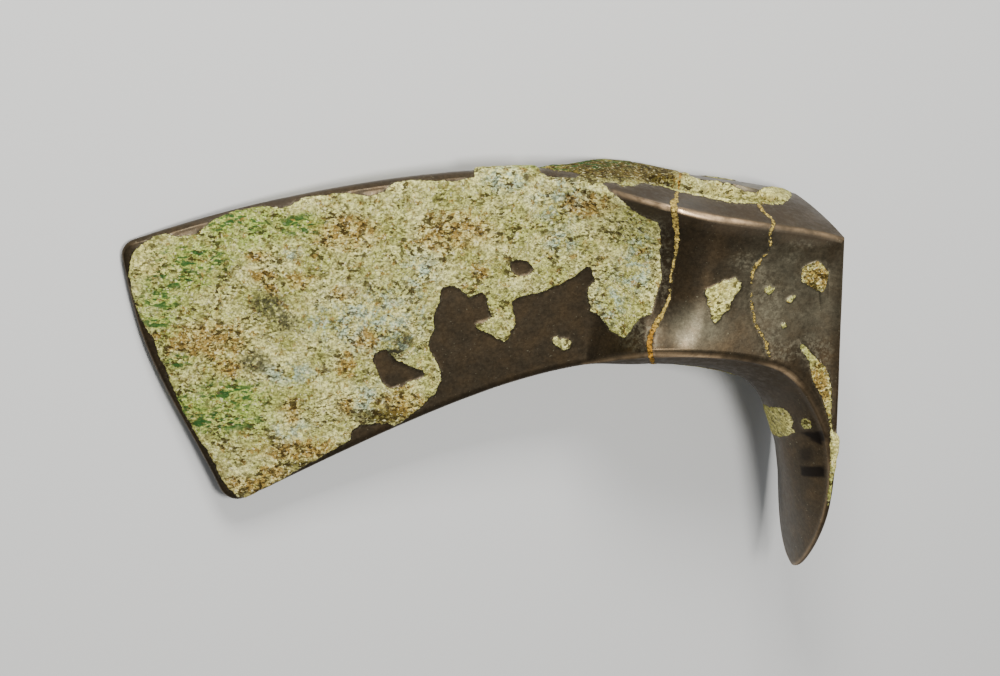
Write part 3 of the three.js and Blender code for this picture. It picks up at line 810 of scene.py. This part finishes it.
def add(kind, inputs=None, out=0, **settings):
    """Adds a node, sets it, fills its inputs with values or with other nodes' outputs, and
    gives back one of its own outputs."""
    made = finish.node_tree.nodes.new(kind)
    for key, value in settings.items():
        setattr(made, key, value)
    for key, value in (inputs or {}).items():
        if isinstance(value, bpy.types.NodeSocket):
            finish.node_tree.links.new(value, made.inputs[key])
        else:
            made.inputs[key].default_value = value
    return made.outputs[out] if made.outputs else None


# %% Numbers from the mesh, and places in mm
on_mesh = {name: add("ShaderNodeAttribute", out="Fac", attribute_name=name)
           for name in ["crust", "crack", "worn", "pit"] + [name + "_stain" for name in stains]}
place = add("ShaderNodeTexCoord", out="Object")
# each direction of the grain: how much it is squeezed along x, y and z, and how far turned
even_mm, lying, slanting = (
    add("ShaderNodeMapping", {"Vector": place, "Rotation": (0, 0, angle),
                              "Scale": [squeeze / MM for squeeze in squeezes]})
    for squeezes, angle in (((1, 1, 1), 0.0), ((0.75, 1.2, 1), 0.25), ((0.5, 1.25, 1), 0.3)))
SEED_SHIFT_X, SEED_SHIFT_Y = 31.7, 13.1
print("numbers that the material reads", len(on_mesh))

# %% [markdown]
# ### Spots and coats
#
# Nearly every tone of a buried surface is a layer with a broken edge. Two makers' moves are
# enough for all of them: noise in lumps of a real size, cut off softly so that it gives
# spots, and coats of colour laid one over the other where the spots are.

# %% Spots and coats
def lumps(size, detail, roughness, seed=0, grain=even_mm):
    """Noise in lumps of a size in mm. Each seed gives another piece of the same noise."""
    moved = add("ShaderNodeVectorMath", {0: grain, 1: (seed * SEED_SHIFT_X, seed * SEED_SHIFT_Y, 0)},
                operation="ADD")
    return add("ShaderNodeTexNoise", {"Vector": moved, "Scale": 1 / size, "Detail": detail,
                                      "Roughness": roughness}, out="Fac")


def spots(size, low, high, least=0.0, most=1.0, detail=4, roughness=0.75, seed=0,
          grain=even_mm, more=None, where=None):
    """A share that rises from least to most while the noise rises from low to high. The
    spots widen where `more` is above zero, and show only as far as `where` says."""
    value = lumps(size, detail, roughness, seed, grain)
    if more is not None:
        value = add("ShaderNodeMath", {0: value, 1: more}, operation="ADD")
    share = add("ShaderNodeMapRange", {0: value, 1: low, 2: high, 3: least, 4: most},
                interpolation_type="SMOOTHSTEP")
    if where is not None:
        share = add("ShaderNodeMath", {0: share, 1: where}, operation="MULTIPLY")
    return share


def coated(colour, coats):
    """The colour under some coats. Each has a share, a strength and a colour."""
    for share, strength, tone in coats:
        colour, tone = (linear(c) if isinstance(c, str) else c for c in (colour, tone))
        if strength < 1:
            share = add("ShaderNodeMath", {0: share, 1: strength}, operation="MULTIPLY")
        colour = add("ShaderNodeMix", {0: share, 6: colour, 7: tone}, out=2, data_type="RGBA")
    return colour


def shaded(colour, low, high, size, detail, roughness, seed):
    """The colour times a grey that follows fine noise from low to high."""
    grey = spots(size, 0.36, 0.64, low, high, detail, roughness, seed)
    grey = add("ShaderNodeCombineColor", {0: grey, 1: grey, 2: grey})
    return add("ShaderNodeMix", {0: 1.0, 6: colour, 7: grey}, out=2, data_type="RGBA",
               blend_type="MULTIPLY")


# %% Where crust and crack fill show
RAGGED_EDGE, CRUMB, CRACK_RAGGEDNESS = 1.1, 0.9, 1.4
crumbled = add("ShaderNodeMath", {0: lumps(CRUMB, 3, 0.65), 1: RAGGED_EDGE, 2: -RAGGED_EDGE / 2},
               operation="MULTIPLY_ADD")
crust_depth = add("ShaderNodeMath", {0: on_mesh["crust"], 1: crumbled}, operation="ADD")
crack_depth = add("ShaderNodeMath", {0: crumbled, 1: CRACK_RAGGEDNESS, 2: on_mesh["crack"]},
                  operation="MULTIPLY_ADD")
crust_mask, crack_mask = (
    add("ShaderNodeMapRange", {0: depth, 1: low, 2: high}, interpolation_type="SMOOTHSTEP")
    for depth, low, high in ((crust_depth, -0.04, 0.1), (crack_depth, -0.05, 0.12)))
cover_mask = add("ShaderNodeMath", {0: crust_mask, 1: crack_mask}, operation="MAXIMUM")
print("nodes so far", len(finish.node_tree.nodes))

# %% [markdown]
# ### The lime crust
#
# Up close it is cream with olive clouds of about a centimetre. Over them lie islands of
# blue-grey, green, sand, brown and umber, each where the photograph shows it, with a grain
# of about a millimetre. Real lime grain is finer, and is drawn as coarse as it shows.

# %% Crust clouds and islands, sizes in mm
CLOUD, SMALL_CLOUD, BLUE_ISLAND, GREEN_TINT, BROWN_SPOT, UMBER_SPOT, LIME_GRAIN = (
    11, 2.4, 3.0, 4, 2.8, 1.8, 0.9)
any_green = add("ShaderNodeMath", {0: on_mesh["tint_stain"], 1: on_mesh["green_stain"]},
                operation="MAXIMUM")
more_brown = add("ShaderNodeMath", {0: on_mesh["tan_stain"], 1: 0.11, 2: -0.025},
                 operation="MULTIPLY_ADD")
crust_colour = coated(CRUST_CREAM, [
    (spots(CLOUD, 0.36, 0.62, roughness=0.65), 1, CRUST_OLIVE),
    (spots(SMALL_CLOUD, 0.42, 0.66, 0, 0.6, roughness=0.7, seed=21), 1, CRUST_SHADE),
    (spots(BLUE_ISLAND, 0.45, 0.57, 0, 0.85, seed=3, where=on_mesh["blue_stain"]), 1, CRUST_BLUE),
    (spots(GREEN_TINT, 0.36, 0.58, 0.3, 0.9, 3, 0.65, 17, where=any_green), 1, CRUST_TINT),
    (on_mesh["tan_stain"], 0.4, CRUST_SAND),
    (spots(BROWN_SPOT, 0.55, 0.6, seed=2, more=more_brown), 0.85, CRUST_TAN),
    (spots(UMBER_SPOT, 0.34, 0.56, 0.7, 1, seed=26, where=on_mesh["umber_stain"]), 1, CRUST_UMBER),
    # paler crust, and painted light on the adze's shaded bend
    (on_mesh["pale_stain"], 0.55, CRUST_PALE_AND_LIT)])
# the grey grain is partly the crust's own tone and partly painted shade of its fine relief
crust_colour = shaded(crust_colour, 0.52, 1.4, LIME_GRAIN, 2, 0.7, 4)
print("nodes so far", len(finish.node_tree.nodes))

# %% [markdown]
# Pores of one to two millimetres lie along the blade, thicker where the crust is brown.
# Pale flecks stand between them. Towards the cutting edge lie slanting streaks of
# malachite green, and in three places something like soot.

# %% Pores, flecks, streaks and soot, sizes in mm
SMALL_PORE, LARGE_PORE, PORE_FIELD, FLECK, STREAK, LONG_STREAK, SOOT_SPOT = (
    0.95, 1.9, 7, 0.9, 1.3, 2.4, 1.6)
small_pores = spots(SMALL_PORE, 0.565, 0.595, 0, 0.8, 1.5, 0.5, 5, lying)
large_pores = spots(LARGE_PORE, 0.575, 0.605, 0, 1, 2, 0.6, 6, lying)
any_pore = add("ShaderNodeMath", {0: small_pores, 1: large_pores}, operation="MAXIMUM")
more_pores = add("ShaderNodeMath", {0: on_mesh["umber_stain"], 1: 0.15, 2: more_brown},
                 operation="MULTIPLY_ADD")
pore_mask = spots(PORE_FIELD, 0.4, 0.56, 0.35, 1, 3, 0.65, 19, more=more_pores, where=any_pore)
streaks = spots(STREAK, 0.53, 0.62, 0, 1, 2, 0.55, 7, slanting)
long_streaks = spots(LONG_STREAK, 0.585, 0.625, 0, 1, 1.5, 0.5, 28, slanting)
any_streak = add("ShaderNodeMath", {0: streaks, 1: long_streaks}, operation="MAXIMUM")
green_share = add("ShaderNodeMath", {0: any_streak, 1: on_mesh["green_stain"]},
                  operation="MULTIPLY")
crust_colour = coated(crust_colour, [
    (spots(FLECK, 0.58, 0.66, 0, 0.6, 2, 0.6, 20), 1, CRUST_FLECK),
    (on_mesh["pit"], 0.35, CRUST_TAN),
    (pore_mask, 0.9, CRUST_PORE),
    (green_share, 0.9, CRUST_GREEN),
    (spots(SOOT_SPOT, 0.38, 0.52, 0.12, 1, seed=8, where=on_mesh["soot_stain"]), 0.85, CRUST_SOOT)])

# %% Crack fill
fill_colour = coated(CRACK_CREAM, [
    (spots(1.2, 0.4, 0.7, 0, 0.8, 3, 0.7, 9), 1, CRUST_TAN),
    (on_mesh["ochre_stain"], 1, CRACK_OCHRE),
    (small_pores, 1, CRUST_PORE)])
fill_colour = shaded(fill_colour, 0.5, 1.2, 0.7, 2, 0.7, 22)
cover_colour = coated(crust_colour, [(crack_mask, 1, fill_colour)])
print("nodes so far", len(finish.node_tree.nodes))

# %% [markdown]
# ### The bronze
#
# A thin brown-black oxide with warmer, thinner clouds and a speckle of light points. Grey
# dust sits near the crust and on the socket's wall, and at the far rim inside the shaft
# hole the same grey is painted light on a face in shade. A dark coat that is no metal lies
# on the top faces, on the ridge's right end and on the underside: there it is painted
# shade, which keeps these faces dark and without reflections, and on the hidden sides it
# stands for earth. Where the oxide is rubbed thin the alloy shines through, paler and
# smoother; at the ridge and the lips by the socket and at the adze's bend this paler colour
# is also a painted highlight.

# %% Bronze colour, sizes in mm
OXIDE_CLOUD, OXIDE_GRAIN, BRIGHT_POINT, DUST_SPOT, DUST_AND_LIGHT_CLOUD, EARTH_AND_SHADE_SPOT, RUBBED_SPOT, FILM_SPOT = (
    7, 1.1, 0.8, 1.6, 5, 2.2, 3.5, 0.8)
grey_share = spots(DUST_SPOT, 0.44, 0.64, 0, 0.65, seed=11, where=on_mesh["grey_stain"])
# grey dust, and painted light at the far rim inside the shaft hole
dust_and_light_share = spots(DUST_AND_LIGHT_CLOUD, 0.3, 0.7, 0.25, 0.6, 4, 0.7, 24, where=on_mesh["dust_stain"])
# painted shade on the top faces and the underside, earth on the hidden sides: a dark coat that is no
# metal
dirt_and_shade_share = spots(EARTH_AND_SHADE_SPOT, 0.35, 0.6, 0.65, 1, seed=25, where=on_mesh["dirt_stain"])
# wear and painted highlight: pale, smoother bronze along the ridges and lips
worn_share = spots(RUBBED_SPOT, 0.3, 0.6, 0.35, 1, 3, 0.6, 12, where=on_mesh["worn"])
near_crust = add("ShaderNodeMapRange", {0: crust_depth, 1: -1.0, 2: 0.0, 3: 0.0, 4: 0.45},
                 interpolation_type="SMOOTHSTEP")
bronze_colour = coated(BRONZE_OXIDE, [
    (spots(OXIDE_CLOUD, 0.35, 0.7, 0, 0.5, 4, 0.6, 10), 1, BRONZE_WARM),
    (grey_share, 1, BRONZE_DUST_AND_LIGHT),
    (dust_and_light_share, 1, BRONZE_DUST_AND_LIGHT),
    (spots(BRIGHT_POINT, 0.69, 0.74, 0, 0.6, 2, 0.6, 23), 1, BRONZE_FLECK)])
bronze_colour = shaded(bronze_colour, 0.84, 1.18, OXIDE_GRAIN, 3, 0.75, 27)
bronze_colour = coated(bronze_colour, [
    (on_mesh["dark_stain"], 1, BRONZE_STAIN),
    (dirt_and_shade_share, 0.85, EARTH_AND_SHADE_FILM),
    (worn_share, 1, BRONZE_WORN_AND_HIGHLIGHT),
    (spots(FILM_SPOT, 0.45, 0.65, 0, 1, 2, 0.6, 13, where=near_crust), 1, BRONZE_DUST_AND_LIGHT)])

# %% Bronze gloss and metal
bronze_gloss = spots(2.0, 0.3, 0.7, 0.36, 0.44, roughness=0.7, seed=14)
for share, change in ((grey_share, 0.3), (dirt_and_shade_share, 0.25), (worn_share, -0.22)):
    bronze_gloss = add("ShaderNodeMath", {0: share, 1: change, 2: bronze_gloss},
                       operation="MULTIPLY_ADD")
bare_metal = add("ShaderNodeMapRange", {0: cover_mask, 1: 0.0, 2: 1.0, 3: 0.9, 4: 0.0},
                 interpolation_type="SMOOTHSTEP")
clear_of_earth_and_shade = add("ShaderNodeMath", {0: dirt_and_shade_share, 1: -0.9, 2: 1.0}, operation="MULTIPLY_ADD")
metal = add("ShaderNodeMath", {0: bare_metal, 1: clear_of_earth_and_shade}, operation="MULTIPLY")
print("nodes so far", len(finish.node_tree.nodes))

# %% [markdown]
# ### Fine relief and the shader
#
# Grain and pores are finer than the mesh, so a bump gives them. Its heights are in mm.
# Lime and earth are porous and have hardly any sheen, so their specular level is low. The dark coat
# that is painted shade on the top faces and the underside gets the same low level.

# %% Shader
LIME_STEP, LIME_BUMP, PORE_BUMP, BRONZE_BUMP = 0.22, 0.36, -0.3, 0.02
LIME_ROUGHNESS, USUAL_SHEEN, POROUS_SHEEN = 0.88, 0.5, 0.12
crust_height = LIME_STEP
for part, bump_height in ((lumps(0.7, 3, 0.65, 15), LIME_BUMP), (pore_mask, PORE_BUMP)):
    crust_height = add("ShaderNodeMath", {0: part, 1: bump_height, 2: crust_height},
                       operation="MULTIPLY_ADD")
bronze_height = add("ShaderNodeMath", {0: lumps(0.9, 3, 0.6, 16), 1: BRONZE_BUMP},
                    operation="MULTIPLY")
height = add("ShaderNodeMix", {0: cover_mask, 2: bronze_height, 3: crust_height})
without_sheen = add("ShaderNodeMath", {0: cover_mask, 1: dirt_and_shade_share}, operation="MAXIMUM")
shader = add("ShaderNodeBsdfPrincipled", {
    "Base Color": coated(bronze_colour, [(cover_mask, 1, cover_colour)]),
    "Metallic": metal,
    "Roughness": add("ShaderNodeMix", {0: cover_mask, 2: bronze_gloss, 3: LIME_ROUGHNESS}),
    "Specular IOR Level": add("ShaderNodeMapRange", {0: without_sheen, 1: 0.0, 2: 1.0, 3: USUAL_SHEEN,
                                                     4: POROUS_SHEEN},
                              interpolation_type="SMOOTHSTEP"),
    "Normal": add("ShaderNodeBump", {"Height": height, "Distance": MM, "Strength": 1.0})})
add("ShaderNodeOutputMaterial", {"Surface": shader})
head.data.materials.clear()
head.data.materials.append(finish)
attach(head, "root")
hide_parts("axe_head")
print("nodes", len(finish.node_tree.nodes))

# %% [markdown]
# ## Table and light
#
# A plain pale table. A small soft box hangs nearly over the head, so that the ridge, the
# lip and the lower half of the hollow wall catch it in narrow lights, and the wall under
# the ridge stays dark. A larger one stands beyond the upper side of the picture: it rakes
# over the crust and brings out its grain. The pale world opens the shadows a little.

# %% Table
TABLE_SIZE, PAPER_WHITE, PAPER_ROUGHNESS = 6, "#d9d8d4", 0.9
bpy.ops.mesh.primitive_plane_add(size=TABLE_SIZE, location=(0, 0, 0))
table = bpy.context.object
table.name = "table"
paper = bpy.data.materials.new("matt_paper")
paper.use_nodes = True
paper_shader = paper.node_tree.nodes["Principled BSDF"]
paper_shader.inputs["Base Color"].default_value = linear(PAPER_WHITE)
paper_shader.inputs["Roughness"].default_value = PAPER_ROUGHNESS
table.data.materials.append(paper)
print("table of", TABLE_SIZE, "m")

# %% Lights
def soft_box(name, at, size, power):
    """A white area light that looks at the head. Places and sizes in m, power in W."""
    data = bpy.data.lights.new(name, "AREA")
    data.shape, data.size, data.size_y = "RECTANGLE", *size
    data.energy = power
    light = bpy.data.objects.new(name, data)
    light.location = at
    light.rotation_euler = Vector(at).to_track_quat("Z", "Y").to_euler()
    bpy.context.scene.collection.objects.link(light)


world = bpy.data.worlds.new("studio")
bpy.context.scene.world = world
world.use_nodes = True
STUDIO_AIR, AIR_STRENGTH = "#dfe3e8", 0.3
background = world.node_tree.nodes["Background"]
background.inputs["Color"].default_value = linear(STUDIO_AIR)
background.inputs["Strength"].default_value = AIR_STRENGTH
soft_box("key", (0.02, 0.2, 0.93), (0.24, 0.24), 8)
soft_box("top_light", (-0.2, 0.85, 0.5), (0.4, 0.25), 11)
print("lights", [light.name for light in bpy.data.lights])
